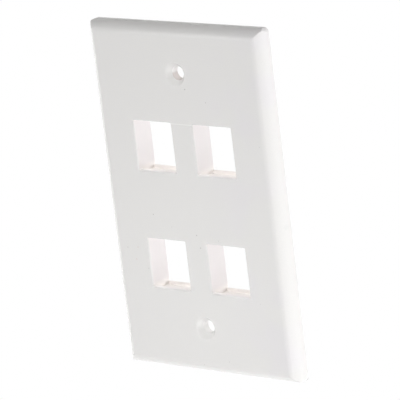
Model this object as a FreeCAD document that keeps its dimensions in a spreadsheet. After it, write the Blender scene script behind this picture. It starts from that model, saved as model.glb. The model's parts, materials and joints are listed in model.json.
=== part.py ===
# Keystone faceplate: a single-gang wall plate that carries four keystone jacks.
# One injection moulding, so one PartDesign body.
#
# Frame: +X right and +Z up as seen from the room, +Y into the wall.
# The origin is the centre of the rim that rests on the wall, so the wall is the plane Y = 0,
# the face is at Y = -plate_depth, and the jack receptacles reach past Y = 0 into the wall box.
import FreeCAD, Part

import math
import os

import Sketcher

# Driving dimensions, in millimetres and degrees.
SIZES = {
    # the plate
    "plate_width": 69.85,
    "plate_height": 114.3,
    "plate_depth": 5.6,
    "corner_radius": 1.5,
    "face_wall": 2.0,
    # the bevelled border: a convex flank that leaves the face at a soft crease and ends upright
    "bevel_inset": 2.8,
    "flank_radius": 5.2,
    "crease_radius": 2.3,
    "mitre_radius": 0.3,
    "rim_edge_radius": 0.1,
    # the hollow back
    "rim_wall": 1.6,
    "tray_draft": 14.0,
    "tray_corner_radius": 1.2,
    "tray_floor_radius": 0.5,
    # the four jack mouths
    "column_pitch": 24.16,
    "row_pitch": 38.9,
    "rows_drop": 2.05,
    "mouth_width": 15.5,
    "mouth_height": 16.5,
    "mouth_corner_radius": 0.3,
    "mouth_edge_radius": 0.3,
    # the receptacle behind each mouth, drawn as its side section
    "jack_width": 15.9,
    "receptacle_depth": 8.4,
    "receptacle_wall": 1.5,
    "receptacle_corner_radius": 0.6,
    "hook_recess": 1.3,
    "hook_catch_height": 1.3,
    "hook_catch_thickness": 1.1,
    "hook_ramp": 0.5,
    "hook_gap": 0.8,
    "hook_gap_depth": 0.55,
    "latch_recess": 3.7,
    "latch_catch_height": 2.0,
    "latch_catch_thickness": 0.8,
    "latch_ramp": 1.2,
    # the screw holes
    "screw_spacing": 83.34,
    "screw_hole_diameter": 4.4,
    "countersink_diameter": 7.5,
    "countersink_angle": 82.0,
    "countersink_edge_radius": 0.6,
    "boss_diameter": 9.2,
    "boss_depth": 4.0,
    # the stiffening ribs
    "rib_thickness": 1.0,
    "rib_depth": 4.6,
}

EPS = 0.001
CLEAR = 5.0  # how far cutting profiles run past the material


class Length:
    """A size known twice: as a number, and as the spreadsheet expression that drives it."""

    def __init__(self, text, value):
        self.text = text
        self.value = value

    def __add__(self, other):
        other = as_length(other)
        return Length(f"({self.text} + {other.text})", self.value + other.value)

    def __sub__(self, other):
        other = as_length(other)
        return Length(f"({self.text} - {other.text})", self.value - other.value)

    def __mul__(self, other):
        other = as_length(other)
        return Length(f"({self.text} * {other.text})", self.value * other.value)

    def __truediv__(self, divisor):
        return Length(f"({self.text} / {divisor})", self.value / divisor)

    def __neg__(self):
        return Length(f"(-1 * {self.text})", -self.value)

    def root(self):
        return Length(f"sqrt({self.text})", math.sqrt(self.value))


def as_length(size):
    return size if isinstance(size, Length) else Length(str(size), float(size))


def size(alias):
    return Length(f"sizes.{alias}", SIZES[alias])


def write_sizes(doc):
    sheet = doc.addObject("Spreadsheet::Sheet", "sizes")
    for row, (alias, value) in enumerate(SIZES.items(), start=1):
        sheet.set(f"A{row}", alias)
        sheet.set(f"B{row}", str(value))
        sheet.setAlias(f"B{row}", alias)
    doc.recompute()


def bind(feature, prop, length):
    feature.setExpression(prop, as_length(length).text)


def origin_feature(body, role):
    return next(f for f in body.Origin.OriginFeatures if f.Role == role)


def new_sketch(body, name, role, offset=0.0):
    """A sketch flat on an origin plane, or lifted off it along the plane's normal."""
    sketch = body.newObject("Sketcher::SketchObject", name)
    sketch.AttachmentSupport = [(origin_feature(body, role), "")]
    sketch.MapMode = "FlatFace"
    bind(sketch, ".AttachmentOffset.Base.z", offset)
    return sketch


def pin(sketch, geometry, point, x, y):
    """Holds a vertex at its distances from the sketch's origin, each driven by the sizes."""
    for kind, axis, length in (("DistanceX", -2, x), ("DistanceY", -1, y)):
        length = as_length(length)
        if abs(length.value) < EPS:
            sketch.addConstraint(Sketcher.Constraint("PointOnObject", geometry, point, axis))
        elif length.value > 0:
            i = sketch.addConstraint(Sketcher.Constraint(kind, -1, 1, geometry, point, length.value))
            sketch.setExpression(f"Constraints[{i}]", length.text)
        else:
            i = sketch.addConstraint(Sketcher.Constraint(kind, geometry, point, -1, 1, -length.value))
            sketch.setExpression(f"Constraints[{i}]", (-length).text)


def vector(corner):
    return FreeCAD.Vector(as_length(corner[0]).value, as_length(corner[1]).value, 0)


def polygon(sketch, corners):
    """A closed outline of straight sides through pinned corners."""
    first = sketch.GeometryCount
    count = len(corners)
    for k in range(count):
        start, end = vector(corners[k]), vector(corners[(k + 1) % count])
        sketch.addGeometry(Part.LineSegment(start, end))
    for k in range(count):
        following = first + (k + 1) % count
        sketch.addConstraint(Sketcher.Constraint("Coincident", first + k, 2, following, 1))
        pin(sketch, first + k, 1, *corners[k])
    return first


def rectangle(sketch, x, y, width, height):
    """A rectangle given by its centre and its two sides."""
    left, right = as_length(x) - width / 2, as_length(x) + width / 2
    low, high = as_length(y) - height / 2, as_length(y) + height / 2
    return polygon(sketch, [(left, low), (right, low), (right, high), (left, high)])


def circle(sketch, x, y, diameter):
    centre = vector((x, y))
    i = sketch.addGeometry(Part.Circle(centre, FreeCAD.Vector(0, 0, 1), diameter.value / 2))
    pin(sketch, i, 3, x, y)
    c = sketch.addConstraint(Sketcher.Constraint("Diameter", i, diameter.value))
    sketch.setExpression(f"Constraints[{c}]", diameter.text)
    return i


def pad(body, sketch, name, length, towards_wall):
    """Adds material. A sketch on the XZ plane looks at the room, so the wall is its far side."""
    feature = body.newObject("PartDesign::Pad", name)
    feature.Profile = sketch
    feature.Reversed = towards_wall
    bind(feature, "Length", length)
    feature.Refine = True
    return finish(body, feature)


def pocket(body, sketch, name, length, reverse=False, symmetric=False):
    """Removes material."""
    feature = body.newObject("PartDesign::Pocket", name)
    feature.Profile = sketch
    feature.Reversed = reverse
    if symmetric:
        feature.SideType = "Symmetric"
    bind(feature, "Length", length)
    return finish(body, feature)


def finish(body, feature):
    body.Tip = feature
    body.Document.recompute()
    return feature


def edges_where(feature, wanted):
    """Names of the edges whose every point passes a test."""
    names = []
    for k, edge in enumerate(feature.Shape.Edges, start=1):
        if not edge.Degenerated and all(wanted(p) for p in edge.discretize(Number=5)):
            names.append(f"Edge{k}")
    return names


def fillet(body, name, base, wanted, radius):
    """Rounds the edges whose every point passes a test."""
    names = edges_where(base, wanted)
    if not names:
        raise RuntimeError(f"{name}: no edge to round")
    feature = body.newObject("PartDesign::Fillet", name)
    feature.Base = (base, names)
    bind(feature, "Radius", radius)
    return finish(body, feature)


def near(value, target, tolerance=0.01):
    return abs(value - target) < tolerance


# --- the plate's outer form ---------------------------------------------------------------

WIDTH, HEIGHT, DEPTH = size("plate_width"), size("plate_height"), size("plate_depth")
HALF_WIDTH, HALF_HEIGHT = WIDTH / 2, HEIGHT / 2
INSET, FLANK_RADIUS = size("bevel_inset"), size("flank_radius")
FACE = -DEPTH  # where the face lies along Y
FLANK_END = FACE + (INSET * (FLANK_RADIUS * 2 - INSET)).root()  # where the flank has turned upright
FLOOR = size("face_wall") - DEPTH  # where the hollow back's floor lies along Y


def make_block(body):
    sketch = new_sketch(body, "outline", "XZ_Plane")
    rectangle(sketch, 0, 0, WIDTH, HEIGHT)
    block = pad(body, sketch, "block", DEPTH, towards_wall=False)

    def on_corner(p):
        return near(abs(p.x), HALF_WIDTH.value) and near(abs(p.z), HALF_HEIGHT.value)

    return fillet(body, "rounded_corners", block, on_corner, size("corner_radius"))


def convex_arc(sketch, start, end, radius, outward):
    """An arc between two pinned ends that bulges outward."""
    a, b = vector(start), vector(end)
    chord = b - a
    sagitta = radius.value - math.sqrt(radius.value**2 - (chord.Length / 2) ** 2)
    normal = FreeCAD.Vector(-chord.y, chord.x, 0).normalize()
    if normal.dot(outward) < 0:
        normal = -normal
    arc = sketch.addGeometry(Part.Arc(a, a + chord / 2 + normal * sagitta, b))
    starts_at_a = sketch.getPoint(arc, 1).isEqual(a, EPS)
    first, last = (1, 2) if starts_at_a else (2, 1)
    pin(sketch, arc, first, *start)
    pin(sketch, arc, last, *end)
    c = sketch.addConstraint(Sketcher.Constraint("Radius", arc, radius.value))
    sketch.setExpression(f"Constraints[{c}]", radius.text)
    return arc, first, last


def flank_waste(sketch, half_size, side, place):
    """What the bevel removes at one side: outside the flank's arc, out to well clear of the block.

    place turns (depth, across) into the sketch's own axes.
    """
    crease, rim, clear = (half_size - INSET) * side, half_size * side, (half_size + CLEAR) * side
    above = FACE - CLEAR
    corners = [(FACE, crease), (FLANK_END, rim), (FLANK_END, clear), (above, clear), (above, crease)]
    corners = [place(*corner) for corner in corners]
    outward = vector(place(0, side))
    arc, arc_first, arc_last = convex_arc(sketch, corners[0], corners[1], FLANK_RADIUS, outward)
    before, before_end = arc, arc_last
    for start, end in zip(corners[1:], corners[2:]):
        line = sketch.addGeometry(Part.LineSegment(vector(start), vector(end)))
        sketch.addConstraint(Sketcher.Constraint("Coincident", before, before_end, line, 1))
        pin(sketch, line, 2, *end)
        before, before_end = line, 2
    line = sketch.addGeometry(Part.LineSegment(vector(corners[-1]), vector(corners[0])))
    sketch.addConstraint(Sketcher.Constraint("Coincident", before, before_end, line, 1))
    sketch.addConstraint(Sketcher.Constraint("Coincident", line, 2, arc, arc_first))


def make_border(body):
    """The convex flanks: straight cuts along X and along Z, which meet in the four mitres."""
    ends = new_sketch(body, "end_flanks", "YZ_Plane")
    sides = new_sketch(body, "side_flanks", "XY_Plane")
    for side in (1, -1):
        flank_waste(ends, HALF_HEIGHT, side, lambda depth, across: (depth, across))
        flank_waste(sides, HALF_WIDTH, side, lambda depth, across: (across, depth))
    pocket(body, ends, "end_bevels", WIDTH + CLEAR * 2, symmetric=True)
    bevelled = pocket(body, sides, "side_bevels", HEIGHT + CLEAR * 2, symmetric=True)

    crease_x, crease_z = HALF_WIDTH.value - INSET.value, HALF_HEIGHT.value - INSET.value

    def on_crease(p):
        return near(p.y, FACE.value) and (near(abs(p.x), crease_x) or near(abs(p.z), crease_z))

    def on_mitre(p):
        return near(HALF_WIDTH.value - abs(p.x), HALF_HEIGHT.value - abs(p.z))

    def on_rim(p):
        return near(p.y, 0)

    rimmed = fillet(body, "rim_edge", bevelled, on_rim, size("rim_edge_radius"))
    creased = fillet(body, "soft_crease", rimmed, on_crease, size("crease_radius"))
    return fillet(body, "soft_mitres", creased, on_mitre, size("mitre_radius"))


# --- the hollow back ----------------------------------------------------------------------


def make_tray(body):
    """The back is hollowed from the rim plane, with drafted walls that follow the flanks."""
    sketch = new_sketch(body, "tray_outline", "XZ_Plane")
    wall = size("rim_wall")
    rectangle(sketch, 0, 0, WIDTH - wall * 2, HEIGHT - wall * 2)
    tray = body.newObject("PartDesign::Pocket", "tray")
    tray.Profile = sketch
    tray.Reversed = True
    bind(tray, "Length", -FLOOR)
    bind(tray, "TaperAngle", -size("tray_draft"))
    finish(body, tray)

    def wall_inset(p):
        return wall.value - p.y * math.tan(math.radians(size("tray_draft").value))

    def on_side_wall(p):
        return near(HALF_WIDTH.value - abs(p.x), wall_inset(p))

    def on_end_wall(p):
        return near(HALF_HEIGHT.value - abs(p.z), wall_inset(p))

    def on_tray_corner(p):
        return on_side_wall(p) and on_end_wall(p)

    def on_tray_floor(p):
        inside = abs(p.x) < HALF_WIDTH.value - wall.value and abs(p.z) < HALF_HEIGHT.value - wall.value
        return near(p.y, FLOOR.value) and inside

    cornered = fillet(body, "tray_corners", tray, on_tray_corner, size("tray_corner_radius"))
    return fillet(body, "tray_floor_edges", cornered, on_tray_floor, size("tray_floor_radius"))


ROWS = [size("row_pitch") * k - size("rows_drop") for k in (0.5, -0.5)]
COLUMNS = [size("column_pitch") * k for k in (-0.5, 0.5)]
SCREWS = [size("screw_spacing") * k for k in (0.5, -0.5)]


def floor_sketch(body, name):
    """A sketch on the floor of the hollow back, seen from the room."""
    return new_sketch(body, name, "XZ_Plane", -FLOOR)


def make_receptacle_boxes(body):
    """The four boxes that stand on the floor and reach into the wall box; they are hollowed later."""
    wall = size("receptacle_wall")
    width = size("jack_width") + wall * 2
    below = size("mouth_height") / 2 + size("hook_recess") + wall
    above = size("mouth_height") / 2 + size("latch_recess") + wall
    sketch = floor_sketch(body, "receptacle_outlines")
    for row in ROWS:
        for column in COLUMNS:
            rectangle(sketch, column, row + (above - below) / 2, width, above + below)
    height = size("receptacle_depth") - size("face_wall")
    boxes = pad(body, sketch, "receptacle_boxes", height, towards_wall=True)

    def on_box_corner(p):
        beside = any(near(abs(p.x - c.value), width.value / 2) for c in COLUMNS)
        level = any(near(p.z - r.value, above.value) or near(p.z - r.value, -below.value) for r in ROWS)
        return beside and level and p.y > FLOOR.value - EPS

    return fillet(body, "box_corners", boxes, on_box_corner, size("receptacle_corner_radius"))


def make_bosses(body):
    sketch = floor_sketch(body, "boss_circles")
    for height in SCREWS:
        circle(sketch, 0, height, size("boss_diameter"))
    return pad(body, sketch, "screw_bosses", size("boss_depth") - size("face_wall"), towards_wall=True)


def make_ribs(body):
    """One rib ties the two receptacles of each row, level with the tops of their mouths."""
    sketch = floor_sketch(body, "rib_outlines")
    reach = size("column_pitch") - size("jack_width") - size("receptacle_wall")
    for row in ROWS:
        rectangle(sketch, 0, row + size("mouth_height") / 2, reach, size("rib_thickness"))
    return pad(body, sketch, "tie_ribs", size("rib_depth") - size("face_wall"), towards_wall=True)


# --- the jack receptacles -----------------------------------------------------------------


def make_mouths(body):
    sketch = new_sketch(body, "mouth_outlines", "XZ_Plane", DEPTH)
    for row in ROWS:
        for column in COLUMNS:
            rectangle(sketch, column, row, size("mouth_width"), size("mouth_height"))
    return pocket(body, sketch, "mouths", size("face_wall"))


def hollow_section(row):
    """The side section of a receptacle's hollow, from the lip behind the face to the open back.

    Below, the jack's fixed hook drops into a recess behind the lip. Above, its spring latch has a
    deeper recess. A ramped catch closes the back of each recess.
    """
    low, high = row - size("mouth_height") / 2, row + size("mouth_height") / 2
    floor, ceiling = low - size("hook_recess"), high + size("latch_recess")
    back = size("receptacle_depth") - DEPTH
    hook_front = back - size("hook_catch_thickness")
    hook_top = floor + size("hook_catch_height")
    hook_end = hook_top - size("hook_ramp")
    latch_front = back - size("latch_catch_thickness")
    latch_low = ceiling - size("latch_catch_height")
    latch_end = latch_low + size("latch_ramp")
    return [
        (FLOOR, floor),
        (hook_front, floor),
        (hook_front, hook_top),
        (back, hook_end),
        (back + CLEAR, hook_end),
        (back + CLEAR, latch_end),
        (back, latch_end),
        (latch_front, latch_low),
        (latch_front, ceiling),
        (FLOOR, ceiling),
    ]


def make_hollows(body):
    """The left column's hollows are cut from their section, then repeated along X."""
    sketch = new_sketch(body, "hollow_sections", "YZ_Plane", COLUMNS[0])
    for row in ROWS:
        polygon(sketch, hollow_section(row))
    hollows = pocket(body, sketch, "left_hollows", size("jack_width"), symmetric=True)
    pattern = body.newObject("PartDesign::LinearPattern", "all_hollows")
    pattern.Originals = [hollows]
    pattern.Direction = (origin_feature(body, "X_Axis"), [""])
    bind(pattern, "Length", size("column_pitch"))
    pattern.Occurrences = len(COLUMNS)
    return finish(body, pattern)


def make_hook_gaps(body):
    """A narrow slot beside each end of the hook catch, where the mould's core clears it."""
    back = size("receptacle_depth") - DEPTH
    front = back - size("hook_catch_thickness")
    sketch = new_sketch(body, "hook_gap_outlines", "XZ_Plane", -front)
    gap, width = size("hook_gap"), size("jack_width")
    for row in ROWS:
        low = row - size("mouth_height") / 2 - size("hook_recess")
        for column in COLUMNS:
            for side in (-1, 1):
                middle = column + (width - gap) / 2 * side
                rectangle(sketch, middle, low + size("hook_catch_height") / 2, gap, size("hook_catch_height"))
    return pocket(body, sketch, "hook_gaps", size("hook_gap_depth"))


# --- the screw holes ----------------------------------------------------------------------


def make_screw_holes(body):
    sketch = new_sketch(body, "screw_centres", "XZ_Plane", DEPTH)
    for height in SCREWS:
        circle(sketch, 0, height, size("screw_hole_diameter"))
    body.Document.recompute()
    hole = body.newObject("PartDesign::Hole", "screw_holes")
    hole.Profile = sketch
    hole.DepthType = "ThroughAll"
    hole.HoleCutType = "Countersink"
    hole.HoleCutCustomValues = True
    bind(hole, "Diameter", size("screw_hole_diameter"))
    bind(hole, "HoleCutDiameter", size("countersink_diameter"))
    bind(hole, "HoleCutCountersinkAngle", size("countersink_angle"))
    return finish(body, hole)


def soften_countersinks(body, holes):
    """Rounds the countersinks' edges on the face, so that the screw heads leave no sharp ring."""

    def on_countersink_edge(p):
        radius = size("countersink_diameter").value / 2
        around = any(near(math.hypot(p.x, p.z - height.value), radius) for height in SCREWS)
        return near(p.y, FACE.value) and around

    return fillet(body, "countersink_edges", holes, on_countersink_edge, size("countersink_edge_radius"))


def soften_mouths(body, base):
    """Rounds the mouths' corners and their edges on the face."""

    def in_mouth(p, slack):
        half_width = size("mouth_width").value / 2 + slack
        half_height = size("mouth_height").value / 2 + slack
        return any(
            abs(p.x - column.value) < half_width and abs(p.z - row.value) < half_height
            for row in ROWS
            for column in COLUMNS
        )

    def on_mouth_corner(p):
        beside = any(near(abs(p.x - c.value), size("mouth_width").value / 2) for c in COLUMNS)
        level = any(near(abs(p.z - r.value), size("mouth_height").value / 2) for r in ROWS)
        return beside and level and p.y < FLOOR.value + EPS

    def on_mouth_edge(p):
        return near(p.y, FACE.value) and in_mouth(p, EPS)

    cornered = fillet(body, "mouth_corners", base, on_mouth_corner, size("mouth_corner_radius"))
    return fillet(body, "mouth_edges", cornered, on_mouth_edge, size("mouth_edge_radius"))


# --- the whole moulding -------------------------------------------------------------------


def make_faceplate(doc):
    body = doc.addObject("PartDesign::Body", "faceplate")
    body.Label = "faceplate"
    make_block(body)
    make_border(body)
    make_tray(body)
    make_receptacle_boxes(body)
    make_bosses(body)
    make_ribs(body)
    make_mouths(body)
    make_hollows(body)
    pierced = make_hook_gaps(body)
    soften_mouths(body, pierced)
    holes = make_screw_holes(body)
    soften_countersinks(body, holes)
    return body


def check(doc, body):
    """Stops before anything is written if a feature failed, or cut or added nothing."""
    failed = [o.Name for o in doc.Objects if "Invalid" in o.State or "Error" in o.State]
    if failed:
        raise RuntimeError(f"features failed: {failed}")
    if body.Shape.isNull() or not body.Shape.isValid() or len(body.Shape.Solids) != 1:
        raise RuntimeError("the faceplate isn't one valid solid")
    volume = None
    for feature in body.Group:
        if not feature.isDerivedFrom("PartDesign::Feature"):
            continue
        if volume is not None and abs(feature.Shape.Volume - volume) < EPS:
            raise RuntimeError(f"{feature.Name} changes nothing")
        volume = feature.Shape.Volume
        print(f"{feature.Name:20s} {volume:10.2f} mm3")


doc = FreeCAD.newDocument("keystone_faceplate")
write_sizes(doc)
faceplate = make_faceplate(doc)
doc.recompute()
check(doc, faceplate)
os.makedirs("parts", exist_ok=True)
faceplate.Shape.exportStep(f"parts/{faceplate.Label}.step")
box = faceplate.Shape.BoundBox
print(f"faceplate: {len(faceplate.Shape.Faces)} faces, {box.YLength:.2f} mm deep in all")
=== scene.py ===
# %% [markdown]
# # A keystone faceplate: one moulding, and the light that shows it
#
# The part is a single injection moulding in white plastic, so there is nothing to assemble here.
# Its form comes finished from the CAD model: the bevelled border, the four jack mouths with
# their receptacles behind, and the two countersunk holes. What this script adds is the finish,
# and with a white part the finish is mostly light: the face and the flanks are one colour, and
# only their tones tell them apart. In the hollows and the screw holes, light and shade are also
# painted into the colour.
#
# The steps: load the frame, lay out the places that the finish needs, build the plastic layer by
# layer, put it on the part, then floor, light and camera.

# %% Load the frame
import json
import math

import bmesh
import bpy
from mathutils import Matrix, Vector


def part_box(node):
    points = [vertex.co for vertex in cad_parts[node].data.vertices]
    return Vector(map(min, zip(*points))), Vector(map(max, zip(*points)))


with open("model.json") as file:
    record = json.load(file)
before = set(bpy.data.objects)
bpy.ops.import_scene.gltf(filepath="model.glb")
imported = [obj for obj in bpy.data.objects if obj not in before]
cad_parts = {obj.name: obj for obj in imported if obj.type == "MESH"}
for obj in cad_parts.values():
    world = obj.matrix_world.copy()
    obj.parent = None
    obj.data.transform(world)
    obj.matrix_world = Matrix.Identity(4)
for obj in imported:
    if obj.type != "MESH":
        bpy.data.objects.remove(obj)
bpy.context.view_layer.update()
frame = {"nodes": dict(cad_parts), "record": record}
record = frame["record"]
plate = frame["nodes"]["faceplate"]

# %% [markdown]
# ## Places on the plate
#
# A finish that follows the part needs to know where the part's features are. They could be
# typed in, but then they'd drift from the model with its next change. The record already states
# each jack port and each opening, so they are read from there. Lengths below are written in
# millimetres, as on a drawing of such a plate.

# %% Read the ports and the plate's own planes
MM = 0.001
LOW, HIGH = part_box("faceplate")
mounts = {mount["name"]: mount for mount in record["mounts"]}
ports = {name: Vector(m["pos_m"]) / MM for name, m in mounts.items() if name.endswith("_port")}

FACE_Y = LOW.y / MM
COLUMN = max(port.x for port in ports.values())
UPPER_ROW = max(port.z for port in ports.values())
LOWER_ROW = min(port.z for port in ports.values())
ROWS_MIDDLE = (UPPER_ROW + LOWER_ROW) / 2
HOLE_HEIGHT = mounts["screw_holes"]["dims"]["spacing_y_mm"] / 2
BORE_RADIUS = mounts["screw_holes"]["dims"]["hole_r_mm"]
print(f"{len(ports)} ports, columns at +-{COLUMN:.2f}, rows at {UPPER_ROW:.2f} and {LOWER_ROW:.2f} mm")
print(f"2 screw holes at +-{HOLE_HEIGHT:.2f} mm, bore {2 * BORE_RADIUS:.1f} mm")

# %% [markdown]
# ## A small kit for shader nodes
#
# A procedural material is a sum: each node takes numbers in and hands numbers on. Written out in
# full, every sum would take five lines to make, set and link. These helpers shorten that to
# one call each, so that the cells below read as the recipe of the plastic and not as wiring.


# %% Helpers for shader nodes
class Recipe:
    """Adds nodes to one node tree. An input is a number, a tuple or another node's output."""

    def __init__(self, tree):
        self.tree = tree

    def feed(self, socket, value):
        if isinstance(value, bpy.types.NodeSocket):
            self.tree.links.new(value, socket)
        else:
            socket.default_value = value

    def add(self, kind, inputs=None, **settings):
        node = self.tree.nodes.new(kind)
        for name, value in settings.items():
            setattr(node, name, value)
        for name, value in (inputs or {}).items():
            self.feed(node.inputs[name], value)
        return node

    def math(self, operation, a, b=0.0, c=0.0):
        return self.add("ShaderNodeMath", {0: a, 1: b, 2: c}, operation=operation).outputs[0]

    def ramp(self, value, start, end, low=0.0, high=1.0):
        """A soft step: low before start, high after end."""
        inputs = {"Value": value, "From Min": start, "From Max": end, "To Min": low, "To Max": high}
        node = self.add("ShaderNodeMapRange", inputs, interpolation_type="SMOOTHSTEP")
        return node.outputs["Result"]

    def mix(self, factor, a, b):
        """Colour a where the factor is 0, and b where it is 1."""
        node = self.add("ShaderNodeMix", data_type="RGBA")
        self.feed(node.inputs[0], factor)
        self.feed(node.inputs[6], a)
        self.feed(node.inputs[7], b)
        return node.outputs[2]

    def noise(self, vector, size, detail=2.0, roughness=0.5):
        """Noise between 0 and 1, whose lumps are about size across, in the vector's own unit."""
        inputs = {"Vector": vector, "Scale": 1.0 / size, "Detail": detail, "Roughness": roughness}
        return self.add("ShaderNodeTexNoise", inputs).outputs[0]


def new_material(name):
    material = bpy.data.materials.new(name)
    material.use_nodes = True
    material.node_tree.nodes.clear()
    return material, Recipe(material.node_tree)


print("node helpers ready")

# %% [markdown]
# ## The plastic, layer 1: where am I on the plate?
#
# Every layer of the finish asks that first. The object's own coordinates suit best: the part
# sits at the origin in its own frame, so they are true lengths, and they stay with the part from
# every side. They are scaled to millimetres once, so the layers can use a drawing's numbers.
#
# The four ports are alike, so the plate is folded: the distance from the nearest column and the
# nearest row is all that a layer needs, and one mask serves all four.

# %% Coordinates in millimetres, folded onto one port
plastic, recipe = new_material("white_moulded_plastic")

object_place = recipe.add("ShaderNodeTexCoord").outputs["Object"]
scaled = recipe.add("ShaderNodeVectorMath", {0: object_place, "Scale": 1 / MM}, operation="SCALE")
place = scaled.outputs[0]
axes = recipe.add("ShaderNodeSeparateXYZ", {0: place}).outputs
across, depth, height = axes[0], axes[1], axes[2]

column_offset = recipe.math("SUBTRACT", recipe.math("ABSOLUTE", across), COLUMN)
from_column = recipe.math("ABSOLUTE", column_offset)
in_upper_row = recipe.math("GREATER_THAN", height, ROWS_MIDDLE)
row_height = recipe.add(
    "ShaderNodeMapRange",
    {"Value": in_upper_row, "To Min": LOWER_ROW, "To Max": UPPER_ROW},
).outputs["Result"]
above_port = recipe.math("SUBTRACT", height, row_height)
print("place in mm, distance from a column, height above a port")

# %% [markdown]
# ## Layer 2: the white itself
#
# No white plastic is one even white. Pigment and flow leave it a shade cooler here and warmer
# there, over a centimetre or so, and the tool's fine texture scatters light unevenly from grain
# to grain. Both are far too faint to see as a pattern, yet without them the part looks like
# paper cut with a knife. So two noises are mixed in: one wide and almost nothing, which grows
# towards the right edge, and one fine.

# %% Base white with slow and fine variation
WHITE = (0.806, 0.795, 0.782, 1)
COOL_WHITE = (0.796, 0.774, 0.794, 1)
GRAIN_SHADE = (0.745, 0.740, 0.732, 1)
CLOUD_SIZE = 14.0
COOL_REACH = 28.0
COOL_LIMIT = 0.8
GRAIN_SIZE = 0.35
GRAIN_LIMIT = 0.5

cloud = recipe.noise(place, CLOUD_SIZE, detail=1.0)
toward_right = recipe.ramp(across, 0.0, COOL_REACH, 0.0, COOL_LIMIT)
cool_share = recipe.math("MULTIPLY", recipe.ramp(cloud, 0.4, 0.7), toward_right)
clouded = recipe.mix(cool_share, WHITE, COOL_WHITE)

grain = recipe.noise(place, GRAIN_SIZE, roughness=0.6)
grain_share = recipe.ramp(grain, 0.15, 0.85, 0.0, GRAIN_LIMIT)
grained = recipe.mix(grain_share, clouded, GRAIN_SHADE)
print(f"white: clouds of {CLOUD_SIZE:.0f} mm, grain of {GRAIN_SIZE} mm")

# %% [markdown]
# ## Layer 3: painted glow inside the receptacles
#
# The receptacle walls are 1.5 mm of a plastic that lets a little light through, and what comes
# through thin white plastic is warm: blue light scatters and is lost first. The light also
# bounces from wall to wall in there, and takes on more warmth each time. Full subsurface
# scattering would give this at twice the render time, with coloured noise on the face, and an
# exporter drops it. So that light is painted: a mask by depth and by distance from the port
# paints a brighter, warmer colour into the hollow, a painted glow that is the same on every
# renderer.

# %% Painted glow behind the mouths
JACK_HALF_WIDTH = 8.8
HOLLOW_TOP = 12.6
HOLLOW_FLOOR = -10.4
# Painted glow: both colours are lighter than the white and stand in for light through the walls.
PAINTED_GLOW_WALL = (0.915, 0.880, 0.880, 1)
PAINTED_GLOW_FLOOR = (0.985, 0.950, 0.925, 1)
HOLLOW_GLOW_STARTS, HOLLOW_GLOW_FULL = FACE_Y + 0.15, FACE_Y + 0.6
FLOOR_STARTS, FLOOR_FULL = -6.5, -9.0
BACK_STARTS, BACK_FULL = FACE_Y + 0.3, FACE_Y + 2.0

inside_width = recipe.math("LESS_THAN", from_column, JACK_HALF_WIDTH)
under_top = recipe.math("LESS_THAN", above_port, HOLLOW_TOP)
over_floor = recipe.math("GREATER_THAN", above_port, HOLLOW_FLOOR)
behind_face = recipe.ramp(depth, HOLLOW_GLOW_STARTS, HOLLOW_GLOW_FULL)
in_port = recipe.math("MULTIPLY", recipe.math("MULTIPLY", inside_width, under_top), over_floor)
glow_hollow_mask = recipe.math("MULTIPLY", in_port, behind_face)

toward_floor = recipe.ramp(above_port, FLOOR_STARTS, FLOOR_FULL)
toward_back = recipe.ramp(depth, BACK_STARTS, BACK_FULL)
floor_share = recipe.math("MULTIPLY", toward_floor, toward_back)
painted_hollow_glow = recipe.mix(floor_share, PAINTED_GLOW_WALL, PAINTED_GLOW_FLOOR)
# The hollows take the painted glow, in place of light that passes through and bounces inside.
hollow_glow_painted = recipe.mix(glow_hollow_mask, grained, painted_hollow_glow)
print("warm hollows behind the four mouths")

# %% [markdown]
# ## Layer 4: the screw holes
#
# A boss stands behind each screw hole, and the light that falls on the boss comes through its
# wall. That light is painted: the upper side of each hole is painted lighter, a painted glow. The
# lower wall of the upper bore lies in shade, and that is painted too, as a warm grey. Both are
# soft steps by height, inside a mask that knows the hole's axis and radius from the record.

# %% Painted glow on the upper side, painted shade on the lower side
SINK_RADIUS = 3.9
SINK_DEPTH = 1.5
SINK_FADE = 0.8
SINK_SHARE = 0.3
BORE_MARGIN = 0.15
PAINTED_HOLE_GLOW = (0.970, 0.955, 0.945, 1)
# Painted shade: a darker warm grey for the lower bore wall, which lies in shade.
PAINTED_BORE_SHADE = (0.670, 0.620, 0.600, 1)

in_upper_hole = recipe.math("GREATER_THAN", height, 0.0)
hole_place = recipe.math("MULTIPLY_ADD", in_upper_hole, 2 * HOLE_HEIGHT, -HOLE_HEIGHT)
above_hole = recipe.math("SUBTRACT", height, hole_place)
squares = recipe.math("MULTIPLY", across, across), recipe.math("MULTIPLY", above_hole, above_hole)
from_axis = recipe.math("SQRT", recipe.math("ADD", *squares))
within_sink = recipe.math("LESS_THAN", from_axis, SINK_RADIUS)
in_sink = recipe.math("MULTIPLY", within_sink, recipe.ramp(depth, FACE_Y, FACE_Y + SINK_FADE))
within_bore = recipe.math("LESS_THAN", from_axis, BORE_RADIUS + BORE_MARGIN)
past_sink = recipe.math("GREATER_THAN", depth, FACE_Y + SINK_DEPTH)
in_bore = recipe.math("MULTIPLY", within_bore, past_sink)

in_hole = recipe.math("MAXIMUM", in_bore, recipe.math("MULTIPLY", in_sink, SINK_SHARE))
# Painted glow: the upper side of each hole is painted lighter.
hole_glow_share = recipe.math("MULTIPLY", in_hole, recipe.ramp(above_hole, -0.3, 1.0))
glow_painted_holes = recipe.mix(hole_glow_share, hollow_glow_painted, PAINTED_HOLE_GLOW)
# Painted shade on the lower wall of the upper bore, and not wear.
shaded_bore_side = recipe.math("MULTIPLY", recipe.ramp(above_hole, 0.4, -0.6), in_upper_hole)
holed = recipe.mix(recipe.math("MULTIPLY", in_bore, shaded_bore_side), glow_painted_holes, PAINTED_BORE_SHADE)
print("screw holes: light above, worn below")

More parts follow.
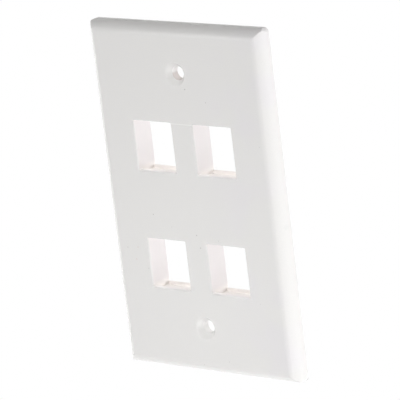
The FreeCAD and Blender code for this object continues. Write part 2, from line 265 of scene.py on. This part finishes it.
# %% [markdown]
# ## Layer 5: what handling left on it
#
# A plate that has been out of its bag has a few dark specks, no larger than a pencil point, and a
# faint smudge where a thumb held its flank. Each is a soft spot in the plate's own millimetres.
# A random scatter would be shorter to write, but real specks are few and lie anywhere, and a
# scatter shows its even spacing.

# %% Specks and a smudge
SPECKS = [  # (across, height, radius, strength)
    (3.3, 37.0, 0.30, 0.55),
    (11.1, 33.2, 0.28, 0.35),
    (30.5, 20.2, 0.25, 0.25),
    (-16.1, -5.2, 0.28, 0.45),
    (-9.0, -8.8, 0.22, 0.25),
    (0.9, -10.7, 0.28, 0.50),
    (9.6, -11.8, 0.22, 0.30),
    (1.9, -14.8, 0.28, 0.45),
    (-28.6, -17.2, 0.24, 0.40),
    (-20.8, -23.6, 0.24, 0.40),
    (23.6, -31.2, 0.22, 0.25),
    (-2.5, -54.1, 0.24, 0.35),
    (8.2, -52.0, 0.24, 0.30),
]
RUST_SPECKS = [(-24.3, -16.8, 0.30, 0.30), (-25.5, -20.9, 0.34, 0.28)]
CORE_SHARE = 0.3  # the part of a spot's or a line's half-width that is at full strength
SMUDGE_PLACE = (33.9, -2.0, -6.1)
SMUDGE_RADIUS = 1.6
SMUDGE_STRENGTH = 0.30
SPECK_COLOUR = (0.22, 0.21, 0.20, 1)
RUST_COLOUR = (0.62, 0.36, 0.33, 1)
SMUDGE_COLOUR = (0.62, 0.62, 0.62, 1)


def spot(centre, radius, strength):
    """A soft-edged spot: strength at its centre, nothing beyond its radius."""
    gap = recipe.add("ShaderNodeVectorMath", {0: place, 1: centre}, operation="DISTANCE")
    return recipe.ramp(gap.outputs["Value"], radius, radius * CORE_SHARE, 0.0, strength)


def spots_on_face(specks):
    """One mask for a list of specks on the face. Where two meet, the stronger one shows."""
    mask = 0.0
    for x, z, radius, strength in specks:
        mask = recipe.math("MAXIMUM", spot((x, FACE_Y, z), radius, strength), mask)
    return mask


specked = recipe.mix(spots_on_face(SPECKS), holed, SPECK_COLOUR)
rusted = recipe.mix(spots_on_face(RUST_SPECKS), specked, RUST_COLOUR)
smudge = spot(SMUDGE_PLACE, SMUDGE_RADIUS, SMUDGE_STRENGTH)
smudged = recipe.mix(smudge, rusted, SMUDGE_COLOUR)
print(f"{len(SPECKS) + len(RUST_SPECKS)} specks and one smudge")

# %% [markdown]
# ## Layer 6: the witness line between the upper mouths
#
# Behind the face a rib ties the two upper receptacles. Over a rib the plastic cools last and
# its skin sets a hair proud, which catches the light as a thin bright line from mouth to mouth.
# It is drawn as a narrow band: raised in the bump below, and painted lighter in colour here, a
# painted highlight along the ridge.

# %% The witness line
WITNESS_HEIGHT = 8.05
WITNESS_HALF_WIDTH = 0.16
WITNESS_REACH = 4.3
WITNESS_DEPTH = 0.3
WITNESS_HIGHLIGHT_COLOUR = (0.90, 0.90, 0.885, 1)

off_line = recipe.math("ABSOLUTE", recipe.math("SUBTRACT", above_port, WITNESS_HEIGHT))
on_line = recipe.ramp(off_line, WITNESS_HALF_WIDTH, WITNESS_HALF_WIDTH * CORE_SHARE)
between_mouths = recipe.math("LESS_THAN", recipe.math("ABSOLUTE", across), WITNESS_REACH)
on_face = recipe.math("LESS_THAN", depth, FACE_Y + WITNESS_DEPTH)
witness_here = recipe.math("MULTIPLY", recipe.math("MULTIPLY", on_line, between_mouths), on_face)
witness = recipe.math("MULTIPLY", witness_here, in_upper_row)
# The lighter colour along the line is a painted highlight. The ridge itself is in the bump.
coloured = recipe.mix(witness, smudged, WITNESS_HIGHLIGHT_COLOUR)
print(f"witness line {2 * WITNESS_REACH:.1f} mm long")

# %% [markdown]
# ## Layer 7: gloss and grain
#
# The tool that moulds such a plate is spark-eroded to a fine, even texture, so the plate is
# neither a mirror nor chalk: lamps show in it as broad soft sheens. Roughness says how broad, and
# varies a little over a centimetre, as the polish of a tool does. Finer and wider steps than
# that would show as flecks. A bump makes the grain itself: a fine noise a few microns high, plus
# the witness line. It's kept very low, because a bump that shows as bumps is wrong at this size.

# %% Put the plastic together
ROUGHNESS = 0.22
ROUGHNESS_SPREAD = 0.02
POLISH_SIZE = 9.0
GRAIN_HEIGHT = 0.004 * MM
GRAIN_STRENGTH = 0.5
WITNESS_RISE = 0.03 * MM
WITNESS_STRENGTH = 0.6
PLASTIC_IOR = 1.50

polish = recipe.noise(place, POLISH_SIZE, detail=0.0)
dullest, glossiest = ROUGHNESS + ROUGHNESS_SPREAD, ROUGHNESS - ROUGHNESS_SPREAD
roughness = recipe.ramp(polish, 0.0, 1.0, glossiest, dullest)


def bump(height_map, rise, strength, **under):
    """Raises the surface by a map. Under it there may be the Normal of an earlier bump."""
    inputs = {"Strength": strength, "Distance": rise, "Height": height_map, **under}
    return recipe.add("ShaderNodeBump", inputs).outputs[0]


grained_surface = bump(recipe.noise(place, GRAIN_SIZE), GRAIN_HEIGHT, GRAIN_STRENGTH)
surface = bump(witness, WITNESS_RISE, WITNESS_STRENGTH, Normal=grained_surface)
shader = recipe.add(
    "ShaderNodeBsdfPrincipled",
    {"Base Color": coloured, "Roughness": roughness, "Normal": surface, "IOR": PLASTIC_IOR},
)
recipe.add("ShaderNodeOutputMaterial", {"Surface": shader.outputs[0]})
print(f"plastic: {len(plastic.node_tree.nodes)} nodes")

# %% [markdown]
# ## Put it on
#
# The moulding's CAD mesh has the true form, so it stays, and only its material slot changes.

# %% The faceplate takes the plastic
plate.data.materials.clear()
plate.data.materials.append(plastic)
print("faceplate wears", plate.data.materials[0].name)

# %% [markdown]
# ## Floor
#
# The plate is made to hang on a wall, so here it hangs in the air, well above a pale table. A
# table of opal glass lit from below is how small white parts are often shown: the plate stands
# clear of its own shadow, and for the eye the table and the room behind it are one white. That
# white is there for the camera, for sheens and through glass, and lights nothing.


# %% Helpers for the studio
def studio_square(name, half_size, place_at):
    """A flat square that isn't part of the object. Its place is in its mesh."""
    flat = bmesh.new()
    bmesh.ops.create_grid(flat, x_segments=1, y_segments=1, size=half_size)
    bmesh.ops.transform(flat, matrix=place_at, verts=flat.verts)
    mesh = bpy.data.meshes.new(name)
    flat.to_mesh(mesh)
    flat.free()
    square = bpy.data.objects.new(name, mesh)
    bpy.context.scene.collection.objects.link(square)
    return square


def direction(azimuth, elevation):
    """The way from the plate towards a place in the studio. Angles in degrees, with 0, 0 in front."""
    a, e = math.radians(azimuth), math.radians(elevation)
    return Vector((math.sin(a) * math.cos(e), -math.cos(a) * math.cos(e), math.sin(e)))


def facing(place_at, aim):
    """The placing of a flat thing at a place, with its -Z side towards a point."""
    towards = Vector(aim) - Vector(place_at)
    return Matrix.Translation(place_at) @ towards.to_track_quat("-Z", "Y").to_matrix().to_4x4()


def white_for_the_eye(recipe):
    """1 as the camera, a sheen or a look through glass sees it, and 0 as a light."""
    rays = recipe.add("ShaderNodeLightPath").outputs
    seen = recipe.math("MAXIMUM", rays["Is Camera Ray"], rays["Is Glossy Ray"])
    return recipe.math("MAXIMUM", seen, rays["Is Transmission Ray"])


print("studio helpers ready")

# %% A pale light table
TABLE_DROP = 0.90
TABLE_HALF_SIZE = 6.0

table_place = Matrix.Translation((0, 0, LOW.z - TABLE_DROP))
table = studio_square("light_table", TABLE_HALF_SIZE, table_place)
opal, recipe = new_material("opal_table")
seen = white_for_the_eye(recipe)
glow = recipe.add("ShaderNodeEmission", {"Color": (1, 1, 1, 1), "Strength": seen})
recipe.add("ShaderNodeOutputMaterial", {"Surface": glow.outputs[0]})
table.data.materials.append(opal)
print(f"table {TABLE_DROP / MM:.0f} mm below the plate")

# %% [markdown]
# ## Light
#
# On a white part the light does the drawing: the face, the flanks and the hollows are one
# colour, so one big soft room would light all of them alike, and the bevel would vanish. Soft
# boxes stand all round the plate instead, and each has one job. The room itself is white to the
# eye and in gloss, but adds no light, so that the soft boxes alone decide the tones.

# %% A white room that adds no light
world = bpy.data.worlds.new("studio_room")
bpy.context.scene.world = world
world.use_nodes = True
world.node_tree.nodes.clear()
recipe = Recipe(world.node_tree)
seen = white_for_the_eye(recipe)
background = recipe.add("ShaderNodeBackground", {"Color": (1, 1, 1, 1), "Strength": seen})
recipe.add("ShaderNodeOutputWorld", {"Surface": background.outputs[0]})
print("the room is white and adds no light")

# %% [markdown]
# ## Soft boxes
#
# A soft box is placed by its direction and its distance, and sized by how wide and high it looks
# from the plate, all in degrees: that way its power and the softness of its shadows can be
# thought of apart. Light from above is held back, which keeps the top flank the darkest and
# shows the bevel. The right-hand boxes lift the right flank, and the low ones the underside. The
# ones behind reach only the hollows and the back. Most boxes are a metre away and light the
# face evenly, but a face lit so has no life, so one small box stands close in front, a little
# low: its light falls off towards the top edge.
#
# The boxes are hidden in gloss, because nine of them would show as nine sheens. What the gloss
# shows is left to the room and to the two cards further down.


# %% Place the soft boxes
def soft_box(name, azimuth, elevation, power, width=28, height=28, distance=1.0):
    """A lamp aimed at the plate's centre. Angles in degrees, power in watts, distance in metres."""
    lamp = bpy.data.lights.new(name, "AREA")
    lamp.shape = "RECTANGLE"
    lamp.size = 2 * distance * math.tan(math.radians(width / 2))
    lamp.size_y = 2 * distance * math.tan(math.radians(height / 2))
    lamp.energy = power
    holder = bpy.data.objects.new(name, lamp)
    bpy.context.scene.collection.objects.link(holder)
    holder.matrix_world = facing(direction(azimuth, elevation) * distance, (0, 0, 0))
    holder.visible_camera = False
    holder.visible_glossy = False
    return holder


soft_boxes = [
    soft_box("high_front_soft_box", azimuth=20, elevation=45, power=4.8),
    soft_box("high_left_soft_box", azimuth=315, elevation=45, power=2.3),
    soft_box("low_front_soft_box", azimuth=45, elevation=-45, power=4.2),
    soft_box("low_right_soft_box", azimuth=90, elevation=-45, power=6.0),
    soft_box("right_soft_box", azimuth=112, elevation=0, power=2.7, width=20),
    soft_box("right_back_soft_box", azimuth=135, elevation=15, power=3.3),
    soft_box("back_soft_box", azimuth=180, elevation=15, power=6.7),
    soft_box("left_soft_box", azimuth=270, elevation=-15, power=9.8),
    soft_box(
        "near_soft_box", azimuth=0, elevation=-22.4, power=0.093, width=30.4, height=30.4, distance=0.184
    ),
]
print(f"{len(soft_boxes)} soft boxes, {sum(box.data.energy for box in soft_boxes):.1f} W in all")

# %% [markdown]
# ## Two cards for the sheen
#
# A smooth white surface seen at a low angle mirrors what stands behind it, and here that is the
# white room, which would wash out the top flank. A photographer holds a grey card where that
# reflection falls. Its lower edge ends above the line on which the floors of the receptacles
# mirror the room, because they keep their sheen.
#
# The second card is brighter than the room. It stands in front, to the left, where the soft
# crease between the face and the top flank mirrors it as a thin line. Both cards are seen in
# gloss only, so they light nothing and block nothing, and the sheens can be set without a
# change in the tones.


# %% A grey card above and a bright card in front
def sheen_card(name, half_size, stand, aim, tone):
    """A card that only a sheen shows. Its tone is 0 for black and 1 for the white of the room."""
    card = studio_square(name, half_size, facing(stand, aim))
    felt, recipe = new_material(name + "_felt")
    glow = recipe.add("ShaderNodeEmission", {"Color": (1, 1, 1, 1), "Strength": tone})
    recipe.add("ShaderNodeOutputMaterial", {"Surface": glow.outputs[0]})
    card.data.materials.append(felt)
    card.visible_camera = False
    card.visible_diffuse = False
    card.visible_shadow = False


TOP_RIM = Vector((0, 0, HIGH.z))
GREY_CARD_STAND = TOP_RIM + Vector((-0.61, 0.38, 0.69)) * 0.4
BRIGHT_CARD_STAND = Vector((-0.163, -0.262, 0.140))

sheen_card("grey_card", half_size=0.24, stand=GREY_CARD_STAND, aim=TOP_RIM, tone=0.05)
sheen_card("bright_card", half_size=0.06, stand=BRIGHT_CARD_STAND, aim=TOP_RIM, tone=4.0)
print(f"cards stand {GREY_CARD_STAND.length:.2f} m and {BRIGHT_CARD_STAND.length:.2f} m away")

# %% [markdown]
# ## Camera
#
# A long lens from more than a metre away keeps the plate's edges nearly parallel. The camera
# stands to the right and a little above, and is tilted a few degrees, so that the plate leans.

# %% Camera
AZIMUTH, ELEVATION, ROLL = 40.73, 15.15, -6.92
DISTANCE = 1.1164
AIM = Vector((4.05, FACE_Y, 1.20)) * MM
LENS = 320.6
SENSOR_WIDTH = 36.0

camera_data = bpy.data.cameras.new("camera")
camera_data.sensor_width = SENSOR_WIDTH
camera_data.lens = LENS
camera = bpy.data.objects.new("camera", camera_data)
bpy.context.scene.collection.objects.link(camera)
outward = direction(AZIMUTH, ELEVATION)
level_view = (-outward).to_track_quat("-Z", "Y").to_matrix().to_4x4()
tilt = Matrix.Rotation(math.radians(ROLL), 4, "Z")
camera.matrix_world = Matrix.Translation(AIM + outward * DISTANCE) @ level_view @ tilt
bpy.context.scene.camera = camera
bpy.context.scene.view_settings.view_transform = "Standard"
print(f"camera {DISTANCE:.3f} m away, {LENS} mm lens")
